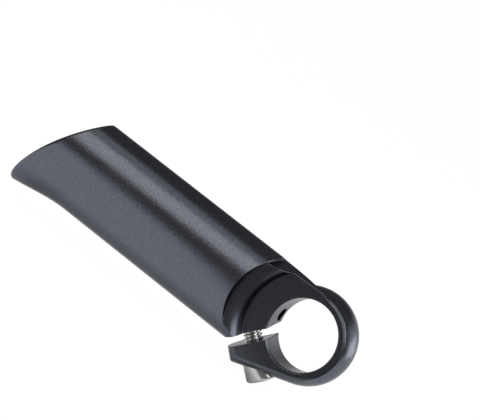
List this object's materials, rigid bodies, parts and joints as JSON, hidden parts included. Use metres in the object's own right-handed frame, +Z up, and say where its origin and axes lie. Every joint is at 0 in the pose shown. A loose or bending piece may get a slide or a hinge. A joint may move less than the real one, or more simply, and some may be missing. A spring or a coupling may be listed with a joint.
{
  "type": "bicycle bar end",
  "caption": "Short curved-section bar end with an integral split clamp that grips the end of a flat handlebar with a pinch bolt.",
  "frame": {"origin": "centre of the clamp bore, on its axis and midway between its faces", "axes": "+X along the bore axis towards the middle of the handlebar, +Y along the grip, +Z up; this is the left-hand one of a pair"},
  "size_m": [0.0355, 0.1246, 0.0382],
  "materials": {
    "body": "satin black anodised",
    "bolt": "bright plated"
  },
  "bodies": {
    "root": {"body": "body", "pinch_bolt": "bolt"}
  },
  "joints": []
}
